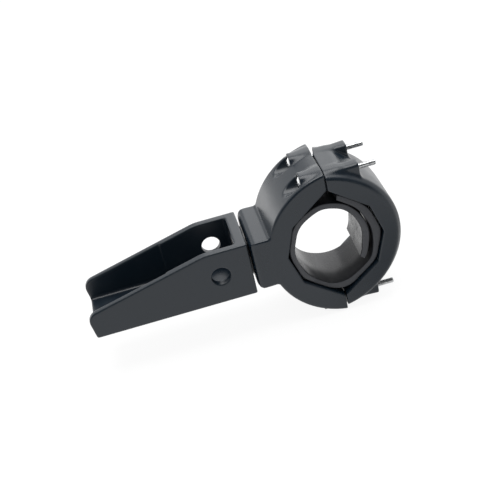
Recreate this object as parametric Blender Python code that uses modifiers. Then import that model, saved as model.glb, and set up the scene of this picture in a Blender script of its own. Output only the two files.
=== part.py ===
"""Fork clamp: a two-part tube clamp with a forked arm that swivels on its stub.

The origin is the middle of the tube passage, on the parting plane of the arm half.
+X runs along the clamp screws from the arm half to the cap, -X along the fork,
+Y along the clamped tube, away from the viewer, and +Z is up.
"""
import math

import bmesh
import bpy
import numpy as np
from mathutils import Matrix, Vector

MM = 0.001

# Ring casting
RING_WIDTH = 48.8 * MM
JAW_DEPTH = 33.2 * MM
JAW_SHOULDER_X = 26.3 * MM
JAW_SHOULDER_Z = 22.0 * MM
JAW_MOUTH_Z = 42.2 * MM
BODY_REACH = 46.0 * MM
BODY_HALF_HEIGHT = 54.3 * MM
CAP_REACH = 45.9 * MM
CAP_HALF_HEIGHT = 51.9 * MM
CAP_CHAMFER = 4.4 * MM
GAP_FRONT = 0.7 * MM
GAP_BEND = 1.0 * MM
GAP_BACK = 3.9 * MM
GAP_BEND_Y = RING_WIDTH / 6.0
CAST_EDGE = 0.8 * MM

# Stub that carries the fork
STUB_REACH = 56.9 * MM
STUB_HALF_HEIGHT = 18.3 * MM
STUB_CORNER = 3.5 * MM
STUB_FILLET = 5.0 * MM
CORNER_BLEND = math.radians(12.0)

# Screw bosses
SCREW_Y = RING_WIDTH * 0.293
SCREW_Z = 48.0 * MM
BODY_BOSS_RADIUS = 6.1 * MM
BODY_BOSS_SKIRT = 3.0 * MM
POCKET_RADIUS = 6.4 * MM
CAP_BOSS_RADIUS = 5.2 * MM
CAP_BOSS_ROOT_RADIUS = 3.9 * MM
CAP_BOSS_REACH = 24.7 * MM
CAP_BOSS_SKIRT = 13.0 * MM
BOSS_EDGE = 0.6 * MM

# Clamp screws and their washers
SCREW_RADIUS = 2.0 * MM
SCREW_LENGTH = 50.0 * MM
HEAD_RADIUS = 4.2 * MM
HEAD_HEIGHT = 3.1 * MM
LOCK_WASHER_RADIUS = 3.9 * MM
LOCK_WASHER_THICK = 0.9 * MM
LOCK_WASHER_SPLIT = 0.8 * MM
FLAT_WASHER_RADIUS = 4.4 * MM
FLAT_WASHER_THICK = 0.8 * MM
COUNTERBORE_RADIUS = 4.8 * MM
SCREW_HEAD_X = -16.3 * MM
INSERT_RADIUS = 3.1 * MM
INSERT_LENGTH = 9.8 * MM

# Fork
FORK_LENGTH = 113.5 * MM
FORK_WIDTH = 46.0 * MM
FORK_TOP = 18.8 * MM
FORK_BOTTOM = 21.0 * MM
FORK_WALL = 5.2 * MM
NOSE_WALL = 4.2 * MM
NOSE_WALL_LENGTH = 57.8 * MM
FORK_FLOOR = 4.7 * MM
FORK_END_WALL = 7.5 * MM
TOP_LENGTH = 29.2 * MM
SLOPE_ANGLE = math.radians(14.1)
SLOPE_ROUND = 40.0 * MM
NOSE_ROUND = 9.4 * MM
NOSE_UNDERCUT = 2.0 * MM
SLOT_CORNER = 2.0 * MM
PIN_HOLE_RADIUS = 6.5 * MM
PIN_HOLE_FROM_END = 21.2 * MM

# Swivel
SWIVEL_SCREW_RADIUS = 5.0 * MM
SWIVEL_HEAD_RADIUS = 9.8 * MM
SWIVEL_SCREW_LENGTH = 28.0 * MM
SWIVEL_DISC_RADIUS = 17.0 * MM
SWIVEL_DISC_THICK = 0.8 * MM
BUSH_RADIUS = 7.0 * MM
BUSH_LENGTH = 18.0 * MM

# Rubber strip, rolled up loosely inside the ring
LINER_FRONT = 22.0 * MM
LINER_BACK = 16.0 * MM
LINER_THICK = 4.4 * MM
LINER_EDGE = 0.8 * MM
LINER_REACH = 27.0 * MM
LINER_SEAT_GAP = 0.5 * MM
LINER_STEP = math.radians(6.0)
# Turning angle in degrees, from the outer end to the end of the inner flap, and the
# distance from the tube axis to the strip's inner face, as a share of LINER_REACH
LINER_PATH = (
    (80, 1.196), (71, 1.122), (60, 1.067), (50, 1.030), (35, 0.967), (20, 0.944), (5, 0.944),
    (-13, 0.959), (-27, 0.993), (-36, 1.033), (-43, 1.059), (-55, 1.059), (-69, 1.104),
    (-81, 1.200), (-91, 1.222), (-105, 1.152), (-118, 1.085), (-129, 1.052), (-140, 1.063),
    (-158, 1.004), (-180, 1.004), (-203, 1.004), (-213, 1.037), (-227, 1.048), (-241, 1.037),
    (-260, 1.037), (-276, 0.978), (-289, 0.933), (-307, 0.844), (-324, 0.770), (-341, 0.726),
    (-360, 0.693), (-380, 0.693), (-391, 0.737), (-406, 0.800),
)

# Clearances and mesh fineness
SEAT_GAP = 0.3 * MM
SCREW_GAP = 0.3 * MM
OVERRUN = 4.0 * MM
ARC_STEP = math.radians(5.0)
ROUND_SIDES = 24
SMOOTH_ANGLE = math.radians(35.0)

# Places worked out from the sizes above
FORK_END_X = -(STUB_REACH + SWIVEL_DISC_THICK + 2.0 * SEAT_GAP)
FORK_NOSE_X = FORK_END_X - FORK_LENGTH
SLOT_END_X = FORK_END_X - FORK_END_WALL
PIN_HOLE_X = FORK_END_X - PIN_HOLE_FROM_END
LOCK_WASHER_X = SCREW_HEAD_X + HEAD_HEIGHT + SEAT_GAP
FLAT_WASHER_X = LOCK_WASHER_X + LOCK_WASHER_THICK + SEAT_GAP
SCREW_SEAT_X = FLAT_WASHER_X + FLAT_WASHER_THICK + SEAT_GAP
BODY_BOSS_X = SCREW_HEAD_X - OVERRUN / 4.0
INSERT_X = CAP_BOSS_REACH - INSERT_LENGTH
SCREW_PLACES = (
    ("front_top", -SCREW_Y, SCREW_Z),
    ("back_top", SCREW_Y, SCREW_Z),
    ("front_bottom", -SCREW_Y, -SCREW_Z),
    ("back_bottom", SCREW_Y, -SCREW_Z),
)

for old in list(bpy.data.objects):
    bpy.data.objects.remove(old, do_unlink=True)

parts = bpy.data.collections.new("fork_clamp")
cutters = bpy.data.collections.new("fork_clamp_cutters")
bpy.context.scene.collection.children.link(parts)
bpy.context.scene.collection.children.link(cutters)


def material(name, colour, roughness, metallic):
    """A Principled material of one colour."""
    made = bpy.data.materials.new(name)
    made.use_nodes = True
    shader = made.node_tree.nodes["Principled BSDF"]
    shader.inputs["Base Color"].default_value = (*colour, 1.0)
    shader.inputs["Roughness"].default_value = roughness
    shader.inputs["Metallic"].default_value = metallic
    return made


black_casting = material("black_casting", (0.035, 0.037, 0.042), 0.45, 0.2)
black_rubber = material("black_rubber", (0.03, 0.032, 0.036), 0.6, 0.0)
zinc_steel = material("zinc_steel", (0.62, 0.62, 0.60), 0.3, 1.0)
black_steel = material("black_steel", (0.03, 0.03, 0.032), 0.4, 0.8)
nylon = material("nylon", (0.02, 0.02, 0.022), 0.5, 0.0)


def add_part(name, mesh, finish):
    """A named part in the parts collection, with its own material and smooth round faces."""
    part = bpy.data.objects.new(name, mesh)
    parts.objects.link(part)
    own = finish.copy()
    own.name = name + "_" + finish.name
    mesh.materials.append(own)
    mesh.shade_smooth()
    mesh.set_sharp_from_angle(angle=SMOOTH_ANGLE)
    return part


def add_cutter(name, mesh):
    """A shape that only cuts or joins, shown as wire."""
    cutter = bpy.data.objects.new(name, mesh)
    cutters.objects.link(cutter)
    cutter.hide_render = True
    cutter.display_type = "WIRE"
    return cutter


def boolean(part, cutter, operation):
    """Cut a part with another solid, or join the solid to it."""
    modifier = part.modifiers.new(cutter.name, "BOOLEAN")
    modifier.operation = operation
    modifier.solver = "EXACT"
    modifier.object = cutter


def arc(centre, radius, start, end):
    """Points on an arc from one angle to another, in evenly spaced steps."""
    steps = max(2, math.ceil(abs(end - start) / ARC_STEP))
    angles = [start + (end - start) * i / steps for i in range(steps + 1)]
    return [(centre[0] + radius * math.cos(a), centre[1] + radius * math.sin(a)) for a in angles]


# Each plane gives the matrix that turns the flat outline's x, y and thickness into place
PLANES = {
    "XZ": Matrix(((1, 0, 0, 0), (0, 0, -1, 0), (0, 1, 0, 0), (0, 0, 0, 1))),
    "YZ": Matrix(((0, 0, 1, 0), (1, 0, 0, 0), (0, 1, 0, 0), (0, 0, 0, 1))),
    "XY": Matrix.Identity(4),
}


def plate(name, outline, plane, low, high, edge=0.0):
    """A flat outline extruded between two places on the plane's normal, with rounded edges."""
    curve = bpy.data.curves.new(name, "CURVE")
    curve.dimensions = "2D"
    curve.fill_mode = "BOTH"
    curve.extrude = (high - low) / 2.0 - edge
    curve.bevel_depth = edge
    curve.bevel_resolution = 1
    curve.offset = -edge
    spline = curve.splines.new("POLY")
    spline.points.add(len(outline) - 1)
    for point, (x, y) in zip(spline.points, outline):
        point.co = (x, y, 0.0, 1.0)
    spline.use_cyclic_u = True
    flat = bpy.data.objects.new(name, curve)
    cutters.objects.link(flat)
    graph = bpy.context.evaluated_depsgraph_get()
    mesh = bpy.data.meshes.new_from_object(flat.evaluated_get(graph))
    mesh.name = name
    bpy.data.objects.remove(flat, do_unlink=True)
    bpy.data.curves.remove(curve)
    turn = PLANES[plane]
    normal = turn.to_3x3() @ Vector((0.0, 0.0, 1.0))
    middle = (low + high) / 2.0 * Vector([abs(value) for value in normal])
    form = bmesh.new()
    form.from_mesh(mesh)
    bmesh.ops.remove_doubles(form, verts=form.verts, dist=1e-6)
    bmesh.ops.transform(form, matrix=Matrix.Translation(middle) @ turn, verts=form.verts)
    bmesh.ops.recalc_face_normals(form, faces=form.faces)
    form.to_mesh(mesh)
    form.free()
    return mesh


def block(name, low, high, edge=0.0):
    """A box between two corners, with its edges rounded."""
    form = bmesh.new()
    bmesh.ops.create_cube(form, size=1.0)
    size = [b - a for a, b in zip(low, high)]
    middle = [(a + b) / 2.0 for a, b in zip(low, high)]
    bmesh.ops.scale(form, vec=size, verts=form.verts)
    bmesh.ops.translate(form, vec=middle, verts=form.verts)
    if edge > 0.0:
        bmesh.ops.bevel(form, geom=form.edges, offset=edge, segments=3, profile=0.5, affect="EDGES")
    mesh = bpy.data.meshes.new(name)
    form.to_mesh(mesh)
    form.free()
    return mesh


def rod(name, axis, place, start, end, radius, end_radius=None):
    """A round bar, or a cone, along X or Y through a point of the other two axes."""
    form = bmesh.new()
    length = end - start
    last = radius if end_radius is None else end_radius
    bmesh.ops.create_cone(form, cap_ends=True, segments=ROUND_SIDES, radius1=radius,
                          radius2=last, depth=length)
    turn = Matrix.Rotation(math.pi / 2, 4, "Y") if axis == "X" else Matrix.Rotation(-math.pi / 2, 4, "X")
    middle = (start + end) / 2.0
    spot = (middle, *place) if axis == "X" else (place[0], middle, place[1])
    bmesh.ops.transform(form, matrix=Matrix.Translation(spot) @ turn, verts=form.verts)
    mesh = bpy.data.meshes.new(name)
    form.to_mesh(mesh)
    form.free()
    return mesh


def turned(name, profile, finish, closed=False):
    """A part turned about its own X axis; the profile lists places along X from the far end."""
    mesh = bpy.data.meshes.new(name)
    links = [(i, i + 1) for i in range(len(profile) - 1)]
    if closed:
        links.append((len(profile) - 1, 0))
    mesh.from_pydata([(radius, 0.0, along) for along, radius in profile], links, [])
    part = add_part(name, mesh, finish)
    screw = part.modifiers.new("turn", "SCREW")
    screw.steps = ROUND_SIDES
    screw.render_steps = ROUND_SIDES
    screw.use_merge_vertices = True
    screw.merge_threshold = 1e-6
    screw.use_smooth_shade = True
    part.rotation_euler = (0.0, math.pi / 2, 0.0)
    return part


def ring_profile(inner, outer, low, high):
    """The closed profile of a round ring between two places on its axis."""
    return [(high, inner), (high, outer), (low, outer), (low, inner)]


def bow(reach, half_height):
    """Centre and radius of the arc through the two parting corners and the outermost point."""
    radius = (reach ** 2 + half_height ** 2) / (2.0 * reach)
    return reach - radius, radius


def jaw_outline(side):
    """Half of the many-sided tube seat, run out past the parting plane to be a cutter."""
    slope = (JAW_MOUTH_Z - JAW_SHOULDER_Z) / JAW_SHOULDER_X
    mouth = JAW_MOUTH_Z + slope * OVERRUN
    corners = [(-OVERRUN, -mouth), (JAW_SHOULDER_X, -JAW_SHOULDER_Z), (JAW_DEPTH, 0.0),
               (JAW_SHOULDER_X, JAW_SHOULDER_Z), (-OVERRUN, mouth)]
    return [(side * x, z) for x, z in corners]


def body_outline():
    """Outside of the arm half: the bowed back, run into the stub by a fillet on each side."""
    shift, radius = bow(BODY_REACH, BODY_HALF_HEIGHT)
    centre = (-shift, 0.0)
    fillet_z = STUB_HALF_HEIGHT + STUB_FILLET
    fillet_x = centre[0] - math.sqrt((radius + STUB_FILLET) ** 2 - fillet_z ** 2)
    touch = math.atan2(fillet_z, fillet_x - centre[0])
    start = math.acos((OVERRUN - centre[0]) / radius)
    upper = arc(centre, radius, start, touch)
    upper += arc((fillet_x, fillet_z), STUB_FILLET, touch - math.pi, -math.pi / 2)
    upper += arc((-STUB_REACH + STUB_CORNER, STUB_HALF_HEIGHT - STUB_CORNER), STUB_CORNER,
                 math.pi / 2, math.pi)
    return upper + [(x, -z) for x, z in reversed(upper)]


def cap_outline():
    """Outside of the cap: one bow, run out past its parting face."""
    shift, radius = bow(CAP_REACH, CAP_HALF_HEIGHT)
    centre = (GAP_FRONT + shift, 0.0)
    start = math.acos((-OVERRUN - centre[0]) / radius)
    return arc(centre, radius, start, -start)


def slope_ends(mesh, half, depth):
    """Chamfer the bow's front and back: its arc there is set back by as much as it is deep."""
    form = bmesh.new()
    form.from_mesh(mesh)
    for side in (-1.0, 1.0):
        geometry = form.verts[:] + form.edges[:] + form.faces[:]
        bmesh.ops.bisect_plane(form, geom=geometry, plane_co=(0.0, side * (half - depth), 0.0),
                               plane_no=(0.0, 1.0, 0.0))
    for vert in form.verts:
        vert.co.x -= max(0.0, abs(vert.co.y) - (half - depth))
    form.to_mesh(mesh)
    form.free()


def boss_outline(y, z, radius, skirt):
    """A boss seen along the screw: a round top on two straight sides."""
    side = math.copysign(1.0, z)
    top = arc((0.0, 0.0), radius, 0.0, math.pi)
    points = [(radius, -skirt)] + top + [(-radius, -skirt)]
    return [(y + across, z + side * up) for across, up in points]


def add_bosses(part, start, end, radius, skirt, root_radius=None):
    """Join the four screw bosses of one half. A boss with a root radius tapers to it at the
    parting face, from its full size at its end."""
    for place, y, z in SCREW_PLACES:
        name = part.name + "_boss_" + place
        outline = boss_outline(y, z, radius, skirt)
        mesh = plate(name, outline, "YZ", start, end, BOSS_EDGE)
        if root_radius is not None:
            for vert in mesh.vertices:
                size = 1.0 - (1.0 - root_radius / radius) * min(1.0, (end - vert.co.x) / end)
                vert.co.y = y + (vert.co.y - y) * size
                vert.co.z = z + (vert.co.z - z) * size
        boolean(part, add_cutter(name, mesh), "UNION")


def cut_rod(part, name, axis, place, start, end, radius, end_radius=None):
    """Drill a round or conical hole."""
    mesh = rod(name, axis, place, start, end, radius, end_radius)
    boolean(part, add_cutter(name, mesh), "DIFFERENCE")


def cut_prism(part, name, outline, plane, reach):
    """Cut an outline right through the part."""
    boolean(part, add_cutter(name, plate(name, outline, plane, -reach, reach)), "DIFFERENCE")


def stub_corner_outline(side):
    """What is cut from a long corner of the stub's end to round it, seen from above."""
    inset = STUB_CORNER * math.cos(CORNER_BLEND)
    centre = (-STUB_REACH + inset, RING_WIDTH / 2.0 - inset)
    points = arc(centre, STUB_CORNER, math.pi / 2, math.pi)
    points += [(-STUB_REACH - OVERRUN, centre[1]), (-STUB_REACH - OVERRUN, RING_WIDTH),
               (centre[0], RING_WIDTH)]
    return [(x, side * across) for x, across in points]


def make_clamp_body():
    """Arm half of the ring, with the stub that the fork turns on."""
    half = RING_WIDTH / 2.0
    mesh = plate("clamp_body", body_outline(), "XZ", -half, half, CAST_EDGE)
    body = add_part("clamp_body", mesh, black_casting)
    add_bosses(body, BODY_BOSS_X, 2.0 * OVERRUN, BODY_BOSS_RADIUS, BODY_BOSS_SKIRT)
    cut_prism(body, "body_jaw", jaw_outline(-1.0), "XZ", RING_WIDTH)
    tall = 2.0 * BODY_HALF_HEIGHT
    parting = block("body_parting", (0.0, -RING_WIDTH, -tall), (tall, RING_WIDTH, tall))
    boolean(body, add_cutter("body_parting", parting), "DIFFERENCE")
    for side, name in ((-1.0, "front_corner"), (1.0, "back_corner")):
        cut_prism(body, name, stub_corner_outline(side), "XY", tall)
    for place, y, z in SCREW_PLACES:
        cut_rod(body, "body_hole_" + place, "X", (y, z), SCREW_SEAT_X - OVERRUN, OVERRUN,
                SCREW_RADIUS + SCREW_GAP)
        cut_rod(body, "body_counterbore_" + place, "X", (y, z), SCREW_HEAD_X - OVERRUN, SCREW_SEAT_X,
                COUNTERBORE_RADIUS)
        cut_rod(body, "body_pocket_" + place, "X", (y, z), -BODY_REACH, SCREW_HEAD_X, POCKET_RADIUS)
    bush_end = -STUB_REACH + BUSH_LENGTH + SEAT_GAP
    screw_end = SLOT_END_X + SWIVEL_SCREW_LENGTH + SEAT_GAP
    cut_rod(body, "bush_bore", "X", (0.0, 0.0), -STUB_REACH - OVERRUN, bush_end,
            BUSH_RADIUS + SEAT_GAP)
    cut_rod(body, "swivel_bore", "X", (0.0, 0.0), bush_end - OVERRUN, screw_end + SEAT_GAP,
            SWIVEL_SCREW_RADIUS + SCREW_GAP)
    return body


def make_clamp_cap(slide):
    """Loose half of the ring, pulled on by the four screws."""
    half = RING_WIDTH / 2.0
    mesh = plate("clamp_cap", cap_outline(), "XZ", -half, half, CAST_EDGE)
    slope_ends(mesh, half, CAP_CHAMFER)
    cap = add_part("clamp_cap", mesh, black_casting)
    add_bosses(cap, GAP_FRONT - 2.0 * OVERRUN, CAP_BOSS_REACH, CAP_BOSS_RADIUS, CAP_BOSS_SKIRT,
               CAP_BOSS_ROOT_RADIUS)
    cut_prism(cap, "cap_jaw", jaw_outline(1.0), "XZ", RING_WIDTH)
    run = OVERRUN * (GAP_BACK - GAP_BEND) / (half - GAP_BEND_Y)
    parting = [(GAP_FRONT, -half - OVERRUN), (GAP_FRONT, -half), (GAP_BEND, GAP_BEND_Y),
               (GAP_BACK + run, half + OVERRUN), (-BODY_REACH, half + OVERRUN),
               (-BODY_REACH, -half - OVERRUN)]
    cut_prism(cap, "cap_parting", parting, "XY", 2.0 * BODY_HALF_HEIGHT)
    for place, y, z in SCREW_PLACES:
        cut_rod(cap, "cap_hole_" + place, "X", (y, z), -OVERRUN, INSERT_X, SCREW_RADIUS + SCREW_GAP)
        cut_rod(cap, "cap_insert_bore_" + place, "X", (y, z), INSERT_X - SEAT_GAP,
                CAP_BOSS_REACH + OVERRUN, INSERT_RADIUS + SEAT_GAP)
    cap.parent = slide
    return cap


def make_screw_stack(place, y, z, slide):
    """One clamp screw with its two washers, and the threaded insert in the cap's boss."""
    axis = bpy.data.objects.new("screw_axis_" + place, None)
    axis.location = (0.0, y, z)
    parts.objects.link(axis)
    tip = SCREW_HEAD_X + HEAD_HEIGHT + SCREW_LENGTH
    neck = SCREW_HEAD_X + HEAD_HEIGHT
    crown = HEAD_HEIGHT / 3.0
    profile = [(tip, 0.0), (tip, SCREW_RADIUS * 0.7), (tip - SCREW_RADIUS * 0.3, SCREW_RADIUS),
               (neck, SCREW_RADIUS), (neck, HEAD_RADIUS), (SCREW_HEAD_X + 2.0 * crown, HEAD_RADIUS),
               (SCREW_HEAD_X + crown, HEAD_RADIUS * 0.93), (SCREW_HEAD_X + crown * 0.3, HEAD_RADIUS * 0.72),
               (SCREW_HEAD_X, HEAD_RADIUS * 0.4), (SCREW_HEAD_X, 0.0)]
    screw = turned("clamp_screw_" + place, profile, zinc_steel)
    screw.parent = axis
    bore = SCREW_RADIUS + SCREW_GAP
    flat = ring_profile(bore, FLAT_WASHER_RADIUS, FLAT_WASHER_X, FLAT_WASHER_X + FLAT_WASHER_THICK)
    washer = turned("flat_washer_" + place, flat, zinc_steel, closed=True)
    washer.location = (0.0, y, z)
    split = math.asin(LOCK_WASHER_SPLIT / 2.0 / LOCK_WASHER_RADIUS)
    ends = (math.pi / 2 + split, math.pi / 2 + 2.0 * math.pi - split)
    coil = arc((y, z), LOCK_WASHER_RADIUS, *ends) + arc((y, z), bore, *reversed(ends))
    coil_mesh = plate("lock_washer_" + place, coil, "YZ", LOCK_WASHER_X,
                      LOCK_WASHER_X + LOCK_WASHER_THICK)
    add_part("lock_washer_" + place, coil_mesh, zinc_steel)
    sleeve = ring_profile(bore, INSERT_RADIUS, INSERT_X, CAP_BOSS_REACH - SEAT_GAP)
    insert = turned("thread_insert_" + place, sleeve, zinc_steel, closed=True)
    insert.location = (0.0, y, z)
    insert.parent = slide


def fork_outline():
    """Side of the fork: a flat top by the swivel, a long slope and a rounded nose."""
    top = FORK_TOP
    bend_x = FORK_END_X - TOP_LENGTH
    tangent = SLOPE_ROUND * math.tan(SLOPE_ANGLE / 2.0)
    bend = arc((bend_x + tangent, top - SLOPE_ROUND), SLOPE_ROUND, math.pi / 2,
               math.pi / 2 + SLOPE_ANGLE)
    nose_z = top - (bend_x - FORK_NOSE_X) * math.tan(SLOPE_ANGLE)
    slope_out = Vector((math.cos(SLOPE_ANGLE), math.sin(SLOPE_ANGLE)))
    corner_turn = math.pi / 2 - SLOPE_ANGLE
    trim = NOSE_ROUND * math.tan(corner_turn / 2.0)
    start = Vector((FORK_NOSE_X, nose_z)) + trim * slope_out
    centre = start + NOSE_ROUND * Vector((math.sin(SLOPE_ANGLE), -math.cos(SLOPE_ANGLE)))
    nose = arc(tuple(centre), NOSE_ROUND, math.pi / 2 + SLOPE_ANGLE, math.pi)
    bottom = -FORK_BOTTOM
    return [(FORK_END_X, bottom), (FORK_END_X, top)] + bend + nose + [(FORK_NOSE_X + NOSE_UNDERCUT, bottom)]


def make_fork(swivel):
    """Channel-shaped fork: two walls on a floor, closed by the end wall at the swivel."""
    half = FORK_WIDTH / 2.0
    fork = add_part("fork", plate("fork", fork_outline(), "XZ", -half, half, CAST_EDGE), black_casting)
    floor_z = -FORK_BOTTOM + FORK_FLOOR
    above = 2.0 * FORK_TOP
    for name, wall, end_x, edge in (
            ("slot", FORK_WALL, SLOT_END_X, SLOT_CORNER),
            ("nose_slot", NOSE_WALL, FORK_NOSE_X + NOSE_WALL_LENGTH, FORK_WALL - NOSE_WALL)):
        side = half - wall
        room = block(name, (FORK_NOSE_X - 2.0 * SLOT_CORNER, -side, floor_z), (end_x, side, above), edge)
        boolean(fork, add_cutter(name, room), "DIFFERENCE")
    cut_rod(fork, "pin_hole", "Y", (PIN_HOLE_X, 0.0), -FORK_WIDTH, FORK_WIDTH, PIN_HOLE_RADIUS)
    cone = SWIVEL_HEAD_RADIUS - SWIVEL_SCREW_RADIUS
    shank = SWIVEL_SCREW_RADIUS + SCREW_GAP
    cut_rod(fork, "swivel_hole", "X", (0.0, 0.0), SLOT_END_X, FORK_END_X + OVERRUN, shank)
    cut_rod(fork, "swivel_countersink", "X", (0.0, 0.0), SLOT_END_X - SEAT_GAP,
            SLOT_END_X + cone + SEAT_GAP, shank + cone + SEAT_GAP, shank - SEAT_GAP)
    fork.parent = swivel
    return fork


def make_swivel():
    """Countersunk screw, friction disc and threaded bush that the fork turns on."""
    cone = SWIVEL_HEAD_RADIUS - SWIVEL_SCREW_RADIUS
    head_x = SLOT_END_X + SEAT_GAP
    tip = SLOT_END_X + SWIVEL_SCREW_LENGTH
    chamfer = SWIVEL_SCREW_RADIUS * 0.2
    profile = [(tip, 0.0), (tip, SWIVEL_SCREW_RADIUS - chamfer), (tip - chamfer, SWIVEL_SCREW_RADIUS),
               (head_x + cone, SWIVEL_SCREW_RADIUS), (head_x, SWIVEL_HEAD_RADIUS), (head_x, 0.0)]
    turned("swivel_screw", profile, black_steel)
    disc_x = FORK_END_X + SEAT_GAP
    bore = SWIVEL_SCREW_RADIUS + SCREW_GAP
    turned("friction_disc", ring_profile(bore, SWIVEL_DISC_RADIUS, disc_x, disc_x + SWIVEL_DISC_THICK),
           nylon, closed=True)
    turned("swivel_bush", ring_profile(bore, BUSH_RADIUS, -STUB_REACH, -STUB_REACH + BUSH_LENGTH),
           zinc_steel, closed=True)


def seat_reach(angles):
    """Distance from the tube axis to the many-sided seat, in the direction of each angle."""
    across = np.abs(np.cos(angles))
    up = np.abs(np.sin(angles))
    flank = JAW_SHOULDER_Z * across + (JAW_DEPTH - JAW_SHOULDER_X) * up
    roof = (JAW_MOUTH_Z - JAW_SHOULDER_Z) * across + JAW_SHOULDER_X * up
    return np.minimum(JAW_SHOULDER_Z * JAW_DEPTH / flank, JAW_SHOULDER_X * JAW_MOUTH_Z / roof)


def liner_outline():
    """The rolled strip seen along the tube: its inner face, then its outer face back again."""
    turns = np.radians([angle for angle, _ in LINER_PATH])[::-1]
    reaches = np.array([share for _, share in LINER_PATH])[::-1] * LINER_REACH
    count = math.ceil((turns[-1] - turns[0]) / LINER_STEP) + 1
    angles = np.linspace(turns[0], turns[-1], count)
    # A blend of neighbouring stretches takes the kinks out of the straight-line reading
    spread = np.radians(np.linspace(-9.0, 9.0, 7))
    radii = np.mean([np.interp(angles + step, turns, reaches) for step in spread], axis=0)
    radii = np.minimum(radii, seat_reach(angles) - LINER_THICK - LINER_SEAT_GAP)
    inner = np.column_stack((radii * np.cos(angles), radii * np.sin(angles)))
    along = np.gradient(inner, axis=0)
    along /= np.linalg.norm(along, axis=1)[:, None]
    outward = np.column_stack((along[:, 1], -along[:, 0]))
    outer = inner + LINER_THICK * outward
    return [tuple(point) for point in np.vstack((inner, outer[::-1]))]


def make_liner():
    """Rubber strip rolled up inside the ring, its free end lapped inside its first turn."""
    mesh = plate("rubber_liner", liner_outline(), "XZ", -LINER_FRONT, LINER_BACK, LINER_EDGE)
    add_part("rubber_liner", mesh, black_rubber)


def settle(part):
    """Make the part's cuts and joins final, and keep its edges crisp where faces meet sharply."""
    graph = bpy.context.evaluated_depsgraph_get()
    mesh = bpy.data.meshes.new_from_object(part.evaluated_get(graph))
    mesh.name = part.name
    part.modifiers.clear()
    part.data = mesh
    mesh.shade_smooth()
    mesh.set_sharp_from_angle(angle=SMOOTH_ANGLE)


def make_axis(name):
    """An empty on a joint's axis, which the moving parts hang on."""
    axis = bpy.data.objects.new(name, None)
    parts.objects.link(axis)
    return axis


cap_slide = make_axis("cap_slide")
fork_swivel = make_axis("fork_swivel")
make_clamp_body()
make_clamp_cap(cap_slide)
for screw_place, screw_y, screw_z in SCREW_PLACES:
    make_screw_stack(screw_place, screw_y, screw_z, cap_slide)
make_fork(fork_swivel)
make_swivel()
make_liner()
for casting in ("clamp_body", "clamp_cap", "fork"):
    settle(bpy.data.objects[casting])
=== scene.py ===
"""Looks of the fork clamp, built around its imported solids.

Lengths are metres, apart from the sizes of the castings and the strip's path, which are
millimetres. The frame is the solids' own: the origin is the middle of the tube passage,
+X runs along the clamp screws to the cap, +Y along the tube and +Z up.
"""
import math

import bmesh
import bpy
import numpy as np
import openvdb
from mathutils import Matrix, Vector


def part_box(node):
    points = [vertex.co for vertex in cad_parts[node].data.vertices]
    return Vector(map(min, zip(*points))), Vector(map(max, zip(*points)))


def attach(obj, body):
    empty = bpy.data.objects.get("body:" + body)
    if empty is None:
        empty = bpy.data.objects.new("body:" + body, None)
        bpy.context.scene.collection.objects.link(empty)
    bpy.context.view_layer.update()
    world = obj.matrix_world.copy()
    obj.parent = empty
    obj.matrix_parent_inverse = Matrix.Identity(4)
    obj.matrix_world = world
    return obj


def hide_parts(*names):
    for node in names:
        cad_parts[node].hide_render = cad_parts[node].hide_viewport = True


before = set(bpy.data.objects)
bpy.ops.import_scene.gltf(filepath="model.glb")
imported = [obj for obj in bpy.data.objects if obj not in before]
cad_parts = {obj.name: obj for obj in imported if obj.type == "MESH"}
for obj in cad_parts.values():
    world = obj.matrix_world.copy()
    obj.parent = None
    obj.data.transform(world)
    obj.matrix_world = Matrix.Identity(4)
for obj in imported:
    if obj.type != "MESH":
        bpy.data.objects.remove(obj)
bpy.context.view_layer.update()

MM = 0.001
TURN = 2.0 * math.pi
MERGE_DISTANCE = 1e-7

# Camera, as the photograph was taken
EYE = (-0.09757, -0.58496, 0.37948)
EYE_TURN = (56.2877, 11.3713, -11.6381)
LENS = 73.74
SENSOR = 36.0
CLIP_START = 0.01

# Clamp screws
SCREW_Y = 14.3 * MM
SCREW_Z = 48.0 * MM
SCREW_HEAD_X = -16.3 * MM
HEAD_RADIUS = 4.2 * MM
HEAD_HEIGHT = 3.1 * MM
HEAD_RIM = 1.3 * MM
HEAD_EDGE = 0.15 * MM
HEAD_DOME_POWER = 2.6
HEAD_LINES_IN, HEAD_LINES_OUT = (0.2, 0.3, 0.4, 0.48), (0.66, 0.76, 0.88, 1.0)
RECESS_REACH = 2.35 * MM
RECESS_HALF_WIDTH = 0.46 * MM
RECESS_DEPTH = 1.7 * MM
RECESS_DRAFT = 0.14 * MM
RECESS_FALL = 0.45
SCREW_RADIUS = 2.0 * MM
SCREW_LENGTH = 50.0 * MM
NECK_FILLET = 0.25 * MM
NECK_RELIEF = 0.1 * MM
NECK_END = 0.5 * MM
THREAD_START = 14.0 * MM
THREAD_PITCH = 0.7 * MM
THREAD_DEPTH = 0.36 * MM
THREAD_RUN_IN = 2.0 * THREAD_PITCH
THREAD_STEPS = 6.0
GROOVE_SLOPE, GROOVE_CREST = 1.3, 0.15
TIP_CHAMFER = 0.7 * MM
TIP_SLOPE = 1.1
SCREW_PLACES = (
    ("front_top", -SCREW_Y, SCREW_Z),
    ("back_top", SCREW_Y, SCREW_Z),
    ("front_bottom", -SCREW_Y, -SCREW_Z),
    ("back_bottom", SCREW_Y, -SCREW_Z),
)

# Castings. Their sizes are in millimetres, because their shapes are worked out on grids
# whose points lie one step apart. The room round a casting is counted in steps. Holes and
# bosses are named for their radii
CAST_STEP = 0.58
ROOM_LOW, ROOM_HIGH, CAST_BAND = 3.0, 3.5, 4.0
CAST_ROUND, SEAT_RIM, PARTING_RIM = 1.0, 0.7, 0.5
HALF_WIDTH = 24.4
SHANK_HOLE = 2.3

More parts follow.
